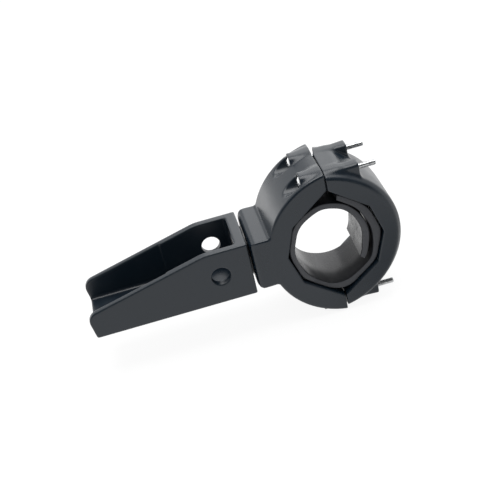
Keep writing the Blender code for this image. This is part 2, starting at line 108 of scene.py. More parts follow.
# Arm half: bow, stub, bosses with tool pockets, and the holes of the swivel. The lean is
# the cosine between the normals of bow and stub. The screw heads stand proud of their
# pockets' floors
BODY_REACH, BODY_HALF_HEIGHT = 46.0, 54.3
RING_ROUND, RING_ROUND_FROM, RING_ROUND_OVER = 1.8, -49.0, 8.0
STUB_REACH, STUB_HALF_HEIGHT, STUB_CORNER = 56.9, 18.3, 4.8
STUB_FILLET, STUB_LEAN = 2.6, 0.33
BODY_BOSS, BODY_BOSS_SKIRT, BODY_BOSS_POWER, BODY_BOSS_FILLET = 6.1, 3.0, 3.2, 2.5
HEAD_PROUD, BOSS_FACE_ROUND = 0.9, 0.6
POCKET, POCKET_END_ROUND, POCKET_RIM = 6.4, 0.5, 0.7
COUNTERBORE, HEAD_SEAT_X, COUNTERBORE_RIM = 4.8, -10.9, 0.4
BUSH_HOLE, BUSH_HOLE_X = 7.3, -38.6
SWIVEL_HOLE, SWIVEL_HOLE_X = 5.3, -37.2

# Cap: bow, slanted parting face, web and bosses
CAP_REACH, CAP_HALF_HEIGHT, CAP_TOP = 45.9, 51.9, 54.0
CAP_SETBACK, SETBACK_EASE, SETBACK_SHARE = 4.4, 1.5, 0.85
GAP_FRONT, GAP_BEND, GAP_BACK, GAP_BEND_Y = 0.7, 1.0, 3.9, 8.13
WEB_TOP, WEB_REACH, WEB_LOW, WEB_HALF_WIDTH = 52.4, 13.8, 36.0, 18.5
WEB_FALL, WEB_BEND_ROUND = math.radians(52.0), 8.0
WEB_SIDE_ROUND, WEB_FILLET = 3.0, 3.0
CAP_BOSS, CAP_BOSS_ROOT, CAP_BOSS_REACH, CAP_BOSS_SKIRT = 5.2, 3.9, 24.7, 13.0
CAP_BOSS_POWER, CAP_BOSS_FLATNESS, CAP_BOSS_FILLET = 4.0, 1.13, 2.2
INSERT_HOLE, INSERT_X, INSERT_RIM = 3.4, 14.9, 0.3

# Fork: side view, slot, cross hole and countersink
FORK_END, FORK_NOSE, FORK_HALF_WIDTH = -58.3, -172.7, 23.0
FORK_TOP, FORK_BOTTOM, FORK_BOTTOM_ROUND = 18.8, 21.0, 1.5
FORK_BEND, FORK_SLOPE, FORK_BEND_ROUND = -87.5, math.radians(14.1), 28.0
FORK_NOSE_ROUND, FORK_UNDERCUT = 9.4, 2.9
SLOT_END, SLOT_HALF_WIDTH, SLOT_FLOOR, SLOT_CORNER, SLOT_RIM = -65.8, 17.8, -16.3, 2.0, 0.9
NOSE_SLOT_END, NOSE_SLOT_HALF_WIDTH, NOSE_SLOT_ROUND = -114.0, 18.8, 1.0
PIN_X, PIN_HOLE, PIN_RIM = -79.5, 6.5, 0.5
SINK_RADIUS, SINK_RUN_OUT = 10.4, 1.0

# Spring washers
COIL_RADIUS = 3.05 * MM
COIL_WIDTH = 1.7 * MM
COIL_THICK = 0.78 * MM
COIL_EDGE = 0.14 * MM
COIL_SLIT = math.radians(11.0)
COIL_STEPS = 73

# Many-sided seat in both halves
SEAT_DEPTH = 33.2 * MM
SHOULDER_X = 26.3 * MM
SHOULDER_Z = 22.0 * MM
MOUTH_Z = 42.2 * MM

# Rubber strip. Each row of its path is the turning angle in degrees and three distances
# from the tube axis in millimetres: to its outer face, and to its inner face at the front
# and at the back
STRIP_FRONT = -22.0 * MM
STRIP_BACK = 18.0 * MM
STRIP_THICK = 4.4 * MM
STRIP_THIN = 2.2 * MM
STRIP_SEAT_GAP = 0.5 * MM
STRIP_EDGE = 1.0 * MM
STRIP_EDGE_STEPS = 9
STRIP_TURN_STEP = 1.5
STRIP_SMOOTHING = 5
STRIP_FLARE = 1.5 * MM
STRIP_BEVEL = 13.0 * MM
BEVEL_FROM, BEVEL_TO, BEVEL_EASE = math.radians(-10.0), math.radians(-215.0), math.radians(40.0)
FIRST_TURN_END, FLARE_EASE = math.radians(-270.0), math.radians(30.0)
STRIP_PATH = (
    (80, 36.7, 32.3, 32.3), (71, 34.7, 30.3, 30.3), (60, 33.3, 28.8, 28.8), (50, 32.8, 27.8, 27.8),
    (35, 32.2, 26.1, 26.1), (20, 31.2, 25.5, 25.5), (5, 31.9, 25.5, 25.5), (-13, 31.3, 25.9, 26.3),
    (-27, 31.7, 26.8, 27.6), (-36, 32.7, 27.9, 28.8), (-43, 33.0, 28.4, 29.8), (-55, 33.0, 28.5, 30.6),
    (-69, 34.2, 29.2, 31.1), (-81, 36.8, 30.4, 31.3), (-91, 37.4, 31.0, 31.3), (-105, 35.5, 30.9, 31.1),
    (-118, 33.7, 29.5, 30.9), (-129, 32.8, 28.6, 30.4), (-140, 33.1, 27.9, 29.6), (-158, 31.5, 27.2, 28.4),
    (-180, 31.5, 27.1, 27.6), (-203, 31.5, 27.1, 27.1), (-213, 32.4, 28.0, 28.0), (-227, 32.7, 28.3, 28.3),
    (-241, 32.4, 28.0, 28.0), (-260, 32.4, 28.0, 28.0), (-276, 30.8, 26.4, 26.4), (-289, 29.6, 25.2, 25.3),
    (-307, 27.2, 22.8, 23.4), (-324, 25.3, 20.8, 21.8), (-341, 24.4, 19.6, 20.9), (-360, 23.8, 18.7, 20.2),
    (-380, 23.7, 18.7, 20.4), (-391, 24.6, 19.9, 21.6), (-406, 26.0, 21.6, 23.6),
)

# Where the strip is not painted darker as shade: behind its front edge, at its left and on
# its inmost turn, whose end has grey specks that are a painted reflection
UNSHADED_FROM, UNSHADED_TO = STRIP_FRONT + 3.0 * MM, STRIP_FRONT + 24.0 * MM
UNSHADED_LEFT_FROM, UNSHADED_LEFT_TO = -14.0 * MM, -25.0 * MM
INMOST_FROM, INMOST_TO = 23.2 * MM, 22.2 * MM
# The strip's front face is painted lighter, as painted light
FACE_FROM, FACE_TO = STRIP_FRONT + 0.5 * MM, STRIP_FRONT + 0.1 * MM
# Where grey specks are painted on the rubber as a reflection
GLINT_PLACE = (19.5 * MM, 2.0 * MM, -2.0 * MM)
GLINT_FROM, GLINT_TO = 20.0 * MM, 11.0 * MM

# Edge wear with a painted edge highlight, and marks: the cosines between a flat and a turned
# normal where the edge mask starts and is full, the scales and the stretch of noise, and what
# is added to the rubber's roughness
EDGE_FLAT, EDGE_TURNED, LEAST_WEAR_AND_HIGHLIGHT = 0.985, 0.86, 0.25
MARK_STRETCH, STEEL_CLOUDS = (1.0, 0.12, 0.12), 420.0
SPECKS, PATCHES = 900.0, 210.0
SHADED_ROUGHNESS, GLINT_ROUGHNESS = 0.45, 0.3

# Colours
COAT_DEEP, COAT_PALE = (0.0055, 0.0118, 0.0198, 1.0), (0.0095, 0.0165, 0.0248, 1.0)
# The coat's edge colour is partly wear and partly a painted highlight
COAT_WORN_AND_HIGHLIT = (0.06, 0.063, 0.07, 1.0)
RUBBER_DEEP, RUBBER_PALE = (0.017, 0.0185, 0.022, 1.0), (0.029, 0.031, 0.036, 1.0)
# Rubber: a painted shade near the front edge, and the front face painted lighter as painted light
RUBBER_SHADED, RUBBER_FACE_LIT = (0.009, 0.010, 0.013, 1.0), (0.066, 0.069, 0.076, 1.0)
# Grey specks painted as a reflection on the rubber
RUBBER_GLINT = (0.21, 0.215, 0.22, 1.0)
ZINC_DEEP, ZINC_PALE = (0.62, 0.63, 0.64, 1.0), (0.84, 0.85, 0.85, 1.0)
OXIDE_DEEP, OXIDE_PALE = (0.045, 0.045, 0.05, 1.0), (0.085, 0.085, 0.09, 1.0)
OXIDE_WORN = (0.4, 0.4, 0.4, 1.0)
NYLON_DEEP, NYLON_PALE = (0.010, 0.010, 0.011, 1.0), (0.017, 0.017, 0.018, 1.0)
WHITE, FLOOR_COLOUR = (1.0, 1.0, 1.0, 1.0), (0.86, 0.86, 0.86, 1.0)

# Studio. The floor lies just under the ring. Its glow and its painted shadow are strengths,
# and the shadow's sides fade between two places
FLOOR_LEVEL = -55.0 * MM
FLOOR_HALF = 3.0
FLOOR_GLOW, GLOW_SHARE = 1.1, 0.82
BACK_FROM, BACK_TO = 0.0, 0.7
LEFT_FROM, LEFT_TO, GLOW_RIGHT, GLOW_LEFT = 0.5, -0.7, 0.5, 1.6
# A painted shadow on the floor, which only mirrored rays see
PAINTED_SHADOW_STRENGTH = -0.6
PAINTED_SHADOW_LEFT, PAINTED_SHADOW_FRONT, PAINTED_SHADOW_BACK = (-0.02, 0.05), (-0.17, -0.10), (0.0, -0.03)
ROOM_LIGHT, WALL_DARK, WALL_FROM, WALL_TO = 0.5, 0.12, -0.45, 0.35
LAMP_AIM = (-0.05, 0.0, 0.0)
BACK_LAMP_PLACE, BACK_LAMP_SIZE, BACK_LAMP_POWER = (0.38, 1.0, 0.6), 1.1, 4.0
TOP_LAMP_PLACE, TOP_LAMP_SIZE, TOP_LAMP_POWER = (-0.05, 0.1, 1.0), 0.8, 8.0


# Castings: a solid is an array of the distances of a grid's points from its surface, in
# millimetres, less than nothing inside it

def meet(first, second, radius, lean=0.0):
    """What two solids share, the edge between them rounded. Both faces are moved in by the
    radius, and the distance is measured from them, or from the edge where they meet, and
    then made shorter by the radius. The lean is the cosine between the faces' normals."""
    first, second = first + radius, second + radius
    by_edge = (first > lean * second) & (second > lean * first)
    edge = first * first + second * second - 2.0 * lean * first * second
    edge = np.sqrt(np.maximum(edge, 0.0) / (1.0 - lean * lean))
    return np.where(by_edge, edge, np.maximum(first, second)) - radius


def join(first, second, radius, lean=0.0):
    """Two solids as one, with a fillet of the radius between them."""
    return -meet(-first, -second, radius, lean)


def cut(solid, tool, radius=0.0):
    """A solid less another, the rim rounded to the radius."""
    return meet(solid, -tool, radius)


def cast_points(low, high):
    """The x, y and z of a grid of points round a box, each along its own axis."""
    axes = [
        np.arange(start - ROOM_LOW * CAST_STEP, end + ROOM_HIGH * CAST_STEP, CAST_STEP)
        for start, end in zip(low, high)]
    return np.meshgrid(*axes, indexing="ij", sparse=True)


def cast_piece(name, points, solid):
    """The surface where the distances are nothing, as a mesh."""
    band = CAST_BAND * CAST_STEP
    values = openvdb.FloatGrid(band)
    values.copyFromArray(np.clip(solid, -band, band).astype(np.float32))
    corners, quads = values.convertToQuads(0.0)
    low = np.array([axis.min() for axis in points])
    return mesh_piece(name, (corners * CAST_STEP + low) * MM, quads.tolist(), smooth_angle=180.0)


def bow(reach, half_height, x, z):
    """A disc through the two parting corners and the outermost point, at -x."""
    radius = (reach ** 2 + half_height ** 2) / (2.0 * reach)
    return np.hypot(x + reach - radius, z) - radius


def jaw(x, z):
    """The many-sided seat, open towards -x: the space inside its flank and its roof."""
    depth, shoulder_x, shoulder_z, mouth = (
        size / MM for size in (SEAT_DEPTH, SHOULDER_X, SHOULDER_Z, MOUTH_Z))
    flank = (shoulder_z * (x - depth) + (depth - shoulder_x) * np.abs(z)) / math.hypot(
        shoulder_z, depth - shoulder_x)
    roof = ((mouth - shoulder_z) * x + shoulder_x * (np.abs(z) - mouth)) / math.hypot(
        mouth - shoulder_z, shoulder_x)
    return np.maximum(flank, roof)


def boss_side(across, up, radius, skirt, power):
    """A boss seen along its screw: a top between a circle and a square, where the powers
    of both distances add up to the radius's, on straight sides."""
    top = (np.abs(across) ** power + np.maximum(up, 0.0) ** power) ** (1.0 / power) - radius
    return np.maximum(top, -skirt - up)


def from_screws(y, z):
    """The distances from the nearest screw line, across and away from the middle."""
    return np.abs(y) - SCREW_Y / MM, np.abs(z) - SCREW_Z / MM


def make_body():
    """Arm half: a bow run into a stub, with four bosses whose tool pockets are cut out of
    the bow's back. The bow's edges are rounded more than the stub's."""
    x, y, z = points = cast_points(
        (-STUB_REACH, -HALF_WIDTH, -BODY_HALF_HEIGHT), (0.0, HALF_WIDTH, BODY_HALF_HEIGHT))
    stub = meet(np.abs(z) - STUB_HALF_HEIGHT, -STUB_REACH - x, STUB_CORNER)
    side = join(bow(BODY_REACH, BODY_HALF_HEIGHT, x, z), stub, STUB_FILLET, STUB_LEAN)
    wide = np.abs(y) - HALF_WIDTH
    on_ring = np.clip((x - RING_ROUND_FROM) / RING_ROUND_OVER, 0.0, 1.0)
    edge = CAST_ROUND + (RING_ROUND - CAST_ROUND) * on_ring
    body = np.maximum(meet(side, wide, edge), meet(-STUB_REACH - x, wide, STUB_CORNER))
    across, up = from_screws(y, z)
    line = np.hypot(across, up)
    face = SCREW_HEAD_X / MM + HEAD_PROUD - x
    boss = boss_side(across, up, BODY_BOSS, BODY_BOSS_SKIRT, BODY_BOSS_POWER)
    body = join(body, meet(boss, face, BOSS_FACE_ROUND), BODY_BOSS_FILLET)
    body = cut(body, meet(line - POCKET, -face, POCKET_END_ROUND), POCKET_RIM)
    body = cut(body, np.maximum(line - COUNTERBORE, x - HEAD_SEAT_X), COUNTERBORE_RIM)
    body = cut(body, line - SHANK_HOLE)
    body = cut(body, jaw(-x, z), SEAT_RIM)
    axle = np.hypot(y, z)
    body = cut(body, np.maximum(axle - BUSH_HOLE, x - BUSH_HOLE_X))
    body = cut(body, np.maximum(axle - SWIVEL_HOLE, x - SWIVEL_HOLE_X))
    return cast_piece("body_casting", points, meet(body, x + 0.0 * y, PARTING_RIM))


def cap_bow(x, y, z):
    """The cap's bow with its web. Near both side faces the bow is set back by as much as a
    point lies past the line where that starts, and the start is eased. The web lies flush
    with the bosses by the parting face and leans down to the bow."""
    past = np.abs(y) - (HALF_WIDTH - CAP_SETBACK)
    back = x + 0.5 * (past + np.sqrt(past * past + SETBACK_EASE))
    ring = bow(CAP_REACH, CAP_HALF_HEIGHT, GAP_FRONT - back, z) * SETBACK_SHARE
    above = np.abs(z) - WEB_TOP
    fall = (back - WEB_REACH) * math.sin(WEB_FALL) + above * math.cos(WEB_FALL)
    web = meet(above, fall, WEB_BEND_ROUND, math.cos(WEB_FALL))
    web = meet(web, np.abs(y) - WEB_HALF_WIDTH, WEB_SIDE_ROUND)
    web = np.maximum(web, WEB_LOW - np.abs(z))
    return meet(join(ring, web, WEB_FILLET), np.abs(y) - HALF_WIDTH, RING_ROUND)


def cap_parting(x, y):
    """The cap's parting face: two planes that leave a gap, narrow in front, wide behind."""
    lean_front = (GAP_BEND - GAP_FRONT) / (HALF_WIDTH + GAP_BEND_Y)
    lean_back = (GAP_BACK - GAP_BEND) / (HALF_WIDTH - GAP_BEND_Y)
    front = GAP_FRONT + lean_front * (y + HALF_WIDTH)
    back = GAP_BEND + lean_back * (y - GAP_BEND_Y)
    return np.maximum(front, back) - x


def make_cap():
    """Cap: a bow with four bosses that taper to their roots and have flattened tops."""
    x, y, z = points = cast_points(
        (0.0, -HALF_WIDTH, -CAP_TOP), (GAP_FRONT + CAP_REACH, HALF_WIDTH, CAP_TOP))
    across, up = from_screws(y, z)
    line = np.hypot(across, up)
    radius = CAP_BOSS - (CAP_BOSS - CAP_BOSS_ROOT) * (1.0 - x / CAP_BOSS_REACH)
    flattened = up * np.where(up > 0.0, CAP_BOSS_FLATNESS, 1.0)
    boss = boss_side(across, flattened, radius, CAP_BOSS_SKIRT, CAP_BOSS_POWER)
    boss = meet(boss, x - CAP_BOSS_REACH, CAST_ROUND)
    cap = join(cap_bow(x, y, z), boss, CAP_BOSS_FILLET)
    cap = cut(cap, jaw(x, z), SEAT_RIM)
    cap = meet(cap, cap_parting(x, y) + 0.0 * z, PARTING_RIM)
    cap = cut(cap, line - SHANK_HOLE)
    cap = cut(cap, np.maximum(line - INSERT_HOLE, INSERT_X - x), INSERT_RIM)
    return cast_piece("cap_casting", points, cap)


def fork_side(x, z):
    """The fork's side view: a flat top, a long slope and a rounded, undercut nose."""
    slope = (z - FORK_TOP + (FORK_BEND - x) * math.tan(FORK_SLOPE)) * math.cos(FORK_SLOPE)
    side = meet(z - FORK_TOP, slope, FORK_BEND_ROUND, math.cos(FORK_SLOPE))
    nose = FORK_NOSE - x + FORK_UNDERCUT * np.clip(-z / FORK_BOTTOM, 0.0, 1.0)
    side = meet(side, nose, FORK_NOSE_ROUND, math.sin(FORK_SLOPE))
    return meet(meet(side, -FORK_BOTTOM - z, FORK_BOTTOM_ROUND), x - FORK_END, CAST_ROUND)


def make_fork():
    """Fork: its side view hollowed from above by a slot that is wider at the nose, with a
    cross hole, and with a countersunk hole for the swivel in its end wall."""
    x, y, z = points = cast_points(
        (FORK_NOSE, -FORK_HALF_WIDTH, -FORK_BOTTOM), (FORK_END, FORK_HALF_WIDTH, FORK_TOP))
    fork = meet(fork_side(x, z), np.abs(y) - FORK_HALF_WIDTH, CAST_ROUND)
    floor = SLOT_FLOOR - z
    slot = meet(meet(np.abs(y) - SLOT_HALF_WIDTH, floor, SLOT_CORNER), x - SLOT_END, SLOT_CORNER)
    nose_slot = meet(np.abs(y) - NOSE_SLOT_HALF_WIDTH, floor, SLOT_CORNER)
    nose_slot = meet(nose_slot, x - NOSE_SLOT_END, NOSE_SLOT_ROUND)
    fork = cut(fork, join(slot, nose_slot, NOSE_SLOT_ROUND), SLOT_RIM)
    fork = cut(fork, np.hypot(x - PIN_X, z) - PIN_HOLE, PIN_RIM)
    axle = np.hypot(y, z)
    in_slot = SLOT_END - SINK_RUN_OUT - x
    sink = np.maximum((axle + x - SLOT_END - SINK_RADIUS) / math.sqrt(2.0), in_slot)
    hole = np.maximum(axle - SWIVEL_HOLE, in_slot)
    return cast_piece("fork_casting", points, cut(fork, np.minimum(hole, sink)))


# Meshes

def mesh_piece(name, points, faces, smooth_angle=35.0):
    """A mesh from an array of points and a list of faces, its doubles merged and its faces
    turned outwards. Edges sharper than the angle in degrees stay sharp."""
    mesh = bpy.data.meshes.new(name)
    mesh.from_pydata(points.reshape(-1, 3).tolist(), [], faces)
    work = bmesh.new()
    work.from_mesh(mesh)
    bmesh.ops.remove_doubles(work, verts=work.verts, dist=MERGE_DISTANCE)
    bmesh.ops.recalc_face_normals(work, faces=work.faces)
    work.to_mesh(mesh)
    work.free()
    mesh.polygons.foreach_set("use_smooth", np.ones(len(mesh.polygons), bool))
    mesh.set_sharp_from_angle(angle=math.radians(smooth_angle))
    piece = bpy.data.objects.new(name, mesh)
    bpy.context.scene.collection.objects.link(piece)
    return piece


def grid_faces(rows, columns, wrap_columns=False, first=0):
    """The quads of a grid whose point (i, j) has the number first + i * columns + j."""
    row = np.arange(rows - 1)[:, None] * columns
    row_next = row + columns
    j = np.arange(columns if wrap_columns else columns - 1)[None, :]
    j_next = (j + 1) % columns
    corners = np.broadcast_arrays(row + j, row + j_next, row_next + j_next, row_next + j)
    return (np.stack(corners, axis=-1).reshape(-1, 4) + first).tolist()


def tube_faces(rows, columns):
    """The quads of a tube of rows closed rings, and one flat face on each end."""
    faces = grid_faces(rows, columns, wrap_columns=True)
    faces.append(list(range(columns)))
    faces.append(list(range((rows - 1) * columns, rows * columns)))
    return faces


def smooth_step(value):
    """0 below 0, 1 above 1 and a smooth rise between them."""
    value = np.clip(value, 0.0, 1.0)
    return value * value * (3.0 - 2.0 * value)


def rounded_section(half_wide, half_high, radius, steps, bevel=None):
    """Points round a rectangle with rounded corners, (count, 2), anticlockwise. The bevel
    is how far the third corner's rounding reaches along the wide side."""
    turn = np.linspace(0.0, math.pi / 2.0, steps + 1)
    corners = []
    for start, side, up in ((0.0, 1, 1), (0.25, -1, 1), (0.5, -1, -1), (0.75, 1, -1)):
        angle = start * TURN + turn
        reach = bevel if bevel and start == 0.5 else radius
        across = side * (half_wide - reach) + reach * np.cos(angle)
        high = up * (half_high - radius) + radius * np.sin(angle)
        corners.append(np.stack((across, high), axis=1))
    return np.concatenate(corners)


def disc_lines():
    """Positions from -1 to 1 of the lines that a screw head's top is drawn on, close
    together where the recess has its walls."""
    wall = RECESS_HALF_WIDTH / HEAD_RADIUS
    draft = RECESS_DRAFT / HEAD_RADIUS
    arm = RECESS_REACH / HEAD_RADIUS
    half = np.array((wall - draft, wall, *HEAD_LINES_IN, arm - 2.0 * draft, arm, *HEAD_LINES_OUT))
    return np.concatenate((-half[::-1], (0.0,), half))


def recess_arm(along, across):
    """How deep one arm of the cross recess is: it tapers outwards and its walls slope."""
    side = (RECESS_HALF_WIDTH - np.abs(across)) / RECESS_DRAFT
    end = (RECESS_REACH - np.abs(along)) / (2.0 * RECESS_DRAFT)
    deep = RECESS_DEPTH * (1.0 - RECESS_FALL * np.abs(along) / RECESS_REACH)
    return deep * np.clip(np.minimum(side, end), 0.0, 1.0)


def screw_top(seat):
    """The top of a screw's head: a square grid drawn out to a disc, whose height is a dome
    less a cross recess."""
    lines = disc_lines()
    u, v = np.meshgrid(lines, lines, indexing="ij")
    wide = u * np.sqrt(1.0 - 0.5 * v * v) * HEAD_RADIUS
    high = v * np.sqrt(1.0 - 0.5 * u * u) * HEAD_RADIUS
    reach = np.hypot(wide, high) / HEAD_RADIUS
    dome = (HEAD_HEIGHT - HEAD_RIM) * (1.0 - reach ** HEAD_DOME_POWER)
    recess = np.maximum(recess_arm(wide, high), recess_arm(high, wide))
    return np.stack((seat - HEAD_RIM - dome + recess, wide, high), axis=-1)


def screw_rings(seat, turn):
    """Rings round a screw from its head's rim to its tip. The radius of the thread's rings
    falls and rises once a pitch along the screw, and one pitch later for each turn."""
    start, end = seat + THREAD_START, seat + SCREW_LENGTH
    plain_x = np.array((
        seat - HEAD_RIM, seat - HEAD_EDGE, seat, seat, seat + NECK_FILLET, start - NECK_END))
    plain_radius = np.array((
        HEAD_RADIUS, HEAD_RADIUS, HEAD_RADIUS - HEAD_EDGE, SCREW_RADIUS + NECK_FILLET,
        SCREW_RADIUS - NECK_RELIEF, SCREW_RADIUS - NECK_RELIEF))
    thread_x = np.arange(start, end, THREAD_PITCH / THREAD_STEPS)
    x = np.concatenate((plain_x, thread_x, (end,)))[:, None]
    phase = (x - start) / THREAD_PITCH - turn[None, :] / TURN
    wave = np.abs(2.0 * (phase - np.floor(phase)) - 1.0)
    groove = THREAD_DEPTH * np.clip(GROOVE_SLOPE * wave - GROOVE_CREST, 0.0, 1.0)
    radius = SCREW_RADIUS - groove * smooth_step((x - start) / THREAD_RUN_IN)
    radius = np.minimum(radius, SCREW_RADIUS - TIP_CHAMFER + (end - x) * TIP_SLOPE)
    radius[: len(plain_x)] = plain_radius[:, None]
    along = np.broadcast_to(x, radius.shape)
    return np.stack((along, radius * np.cos(turn), radius * np.sin(turn)), axis=-1)


def make_screw(place, y, z):
    """A pan head screw along X: the top of its head, and rings from there to its tip."""
    seat = SCREW_HEAD_X + HEAD_HEIGHT
    top = screw_top(seat)
    count = len(top)
    number = np.arange(count * count).reshape(count, count)
    rim = np.concatenate((number[0, :-1], number[:-1, -1], number[-1, :0:-1], number[:0:-1, 0]))
    top = top.reshape(-1, 3)
    rings = screw_rings(seat, np.arctan2(top[rim, 2], top[rim, 1]))
    rows, columns = rings.shape[:2]
    first = len(top)
    faces = grid_faces(count, count)
    faces += grid_faces(rows, columns, wrap_columns=True, first=first)
    faces.append(list(range(first + (rows - 1) * columns, first + rows * columns)))
    points = np.concatenate((top, rings.reshape(-1, 3))) + (0.0, y, z)
    return mesh_piece("machine_screw_" + place, points, faces)


def make_spring_washer(place, y, z):
    """A flat bar with rounded edges carried along one turn of a helix round the screw, a
    little less than a full turn, so that its cut ends stand apart."""
    low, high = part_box("lock_washer_" + place)
    middle = 0.5 * (low.x + high.x)
    section = rounded_section(0.5 * COIL_WIDTH, 0.5 * COIL_THICK, COIL_EDGE, steps=3)
    turn = np.linspace(COIL_SLIT, TURN - COIL_SLIT, COIL_STEPS)[:, None]
    rise = (high.x - low.x - COIL_THICK) * (turn / TURN - 0.5)
    radius = COIL_RADIUS + section[None, :, 0]
    x = middle + rise + section[None, :, 1]
    points = np.stack((x, y + radius * np.cos(turn), z + radius * np.sin(turn)), axis=-1)
    return mesh_piece("spring_washer_" + place, points, tube_faces(*x.shape))


def seat_distance(turn):
    """The seat's distance from the tube axis: in every quarter the nearer of two lines,
    its flank and its roof."""
    across, up = np.abs(np.cos(turn)), np.abs(np.sin(turn))
    flank = SHOULDER_Z * SEAT_DEPTH / (SHOULDER_Z * across + (SEAT_DEPTH - SHOULDER_X) * up)
    roof = SHOULDER_X * MOUTH_Z / ((MOUTH_Z - SHOULDER_Z) * across + SHOULDER_X * up)
    return np.minimum(flank, roof)


def strip_places(turn):
    """The y of each point of the strip's section, turn by turn, and the section itself. The
    lower half's inner edge at the front is bevelled."""
    half_wide, half_high = 0.5 * (STRIP_BACK - STRIP_FRONT), 0.5 * STRIP_THICK
    section = rounded_section(half_wide, half_high, STRIP_EDGE, STRIP_EDGE_STEPS)
    bevelled = rounded_section(half_wide, half_high, STRIP_EDGE, STRIP_EDGE_STEPS, STRIP_BEVEL)
    rise = smooth_step((BEVEL_FROM - turn) / BEVEL_EASE)
    share = rise * smooth_step((turn - BEVEL_TO) / BEVEL_EASE)
    y = section[:, 0] + share[:, None] * (bevelled[:, 0] - section[:, 0])
    return 0.5 * (STRIP_BACK + STRIP_FRONT) + y, section


def make_strip():
    """A rubber bar rolled up: a rectangle with rounded edges is carried along the path, each
    of its points between the inner and the outer face. The inner face changes evenly from
    front to back. The outer face is drawn in where it would not fit the seat, and past the
    first turn it flares towards the back."""
    path = np.array(STRIP_PATH, float)
    last = path[-1, 0] - 0.5 * STRIP_TURN_STEP
    turn = np.radians(np.arange(path[0, 0], last, -STRIP_TURN_STEP))
    outer, front, back = (
        smooth_through(-np.radians(path[:, 0]), path[:, column] * MM, -turn) for column in (1, 2, 3))
    seat = seat_distance(turn) - STRIP_SEAT_GAP
    outer = np.pad(np.minimum(outer, seat), STRIP_SMOOTHING // 2, mode="edge")
    shares = np.full(STRIP_SMOOTHING, 1.0 / STRIP_SMOOTHING)
    outer = np.minimum(np.convolve(outer, shares, mode="valid"), seat)
    y, section = strip_places(turn)
    backward = (y - STRIP_FRONT) / (STRIP_BACK - STRIP_FRONT)
    inner = front[:, None] + (back - front)[:, None] * backward
    inner = np.minimum(inner, outer[:, None] - STRIP_THIN)
    flare = STRIP_FLARE * smooth_step((turn - FIRST_TURN_END) / FLARE_EASE)[:, None] * backward
    outer = np.minimum(outer[:, None] + flare, seat[:, None])
    radius = inner + (outer - inner) * (0.5 + section[None, :, 1] / STRIP_THICK)
    across, up = np.cos(turn)[:, None], np.sin(turn)[:, None]
    points = np.stack((radius * across, np.broadcast_to(y, radius.shape), radius * up), axis=-1)
    return mesh_piece("rubber_strip", points, tube_faces(*radius.shape), smooth_angle=50.0)


def smooth_through(knots, values, places):
    """A cubic through each knot with the slope that its two neighbours give."""
    slopes = np.gradient(values, knots)
    k = np.clip(np.searchsorted(knots, places) - 1, 0, len(knots) - 2)
    span = knots[k + 1] - knots[k]
    t = (places - knots[k]) / span
    return (
        (1.0 + 2.0 * t) * (1.0 - t) ** 2 * values[k]
        + t * (1.0 - t) ** 2 * span * slopes[k]
        + t * t * (3.0 - 2.0 * t) * values[k + 1]
        + t * t * (t - 1.0) * span * slopes[k + 1]
    )


# Shader nodes

class Nodes:
    """Short calls for placing and joining the nodes of one tree."""

    def __init__(self, tree):
        self.tree = tree

    def add(self, kind, **settings):
        node = self.tree.nodes.new(kind)
        for key, value in settings.items():
            setattr(node, key, value)
        return node

    def put(self, socket, value):
        if isinstance(value, bpy.types.NodeSocket):
            self.tree.links.new(value, socket)
        else:
            socket.default_value = value

    def math(self, operation, *values):
        node = self.add("ShaderNodeMath", operation=operation)
        for socket, value in zip(node.inputs, values):
            self.put(socket, value)
        return node.outputs[0]

    def spread(self, value, low, high, to_low=0.0, to_high=1.0):
        """A smooth change from to_low, where the value is low, to to_high."""
        node = self.add("ShaderNodeMapRange", interpolation_type="SMOOTHSTEP")
        for socket, number in zip(node.inputs, (value, low, high, to_low, to_high)):
            self.put(socket, number)
        return node.outputs[0]

    def between(self, share, low, high):
        """A number between low and high, for a share from 0 to 1."""
        return self.spread(share, 0.0, 1.0, low, high)

    def mix(self, share, first, second):
        node = self.add("ShaderNodeMix", data_type="RGBA")
        self.put(node.inputs[0], share)
        self.put(node.inputs[6], first)
        self.put(node.inputs[7], second)
        return node.outputs[2]

    def noise(self, vector, scale, detail, roughness):
        node = self.add("ShaderNodeTexNoise")
        self.put(node.inputs["Vector"], vector)
        self.put(node.inputs["Scale"], scale)
        self.put(node.inputs["Detail"], detail)
        self.put(node.inputs["Roughness"], roughness)
        return node.outputs[0]

    def group(self, tree, **values):
        node = self.add("ShaderNodeGroup", node_tree=tree)
        for key, value in values.items():
            self.put(node.inputs[key.replace("_", " ")], value)
        return node.outputs


def node_group(name, inputs, outputs):
    """An empty shader node group, with its input and output nodes."""
    tree = bpy.data.node_groups.new(name, "ShaderNodeTree")
    for label, kind, value in inputs:
        socket = tree.interface.new_socket(label, in_out="INPUT", socket_type="NodeSocket" + kind)
        if value is not None:
            socket.default_value = value
    for label, kind in outputs:
        tree.interface.new_socket(label, in_out="OUTPUT", socket_type="NodeSocket" + kind)
    nodes = Nodes(tree)
    return tree, nodes, nodes.add("NodeGroupInput").outputs, nodes.add("NodeGroupOutput").inputs


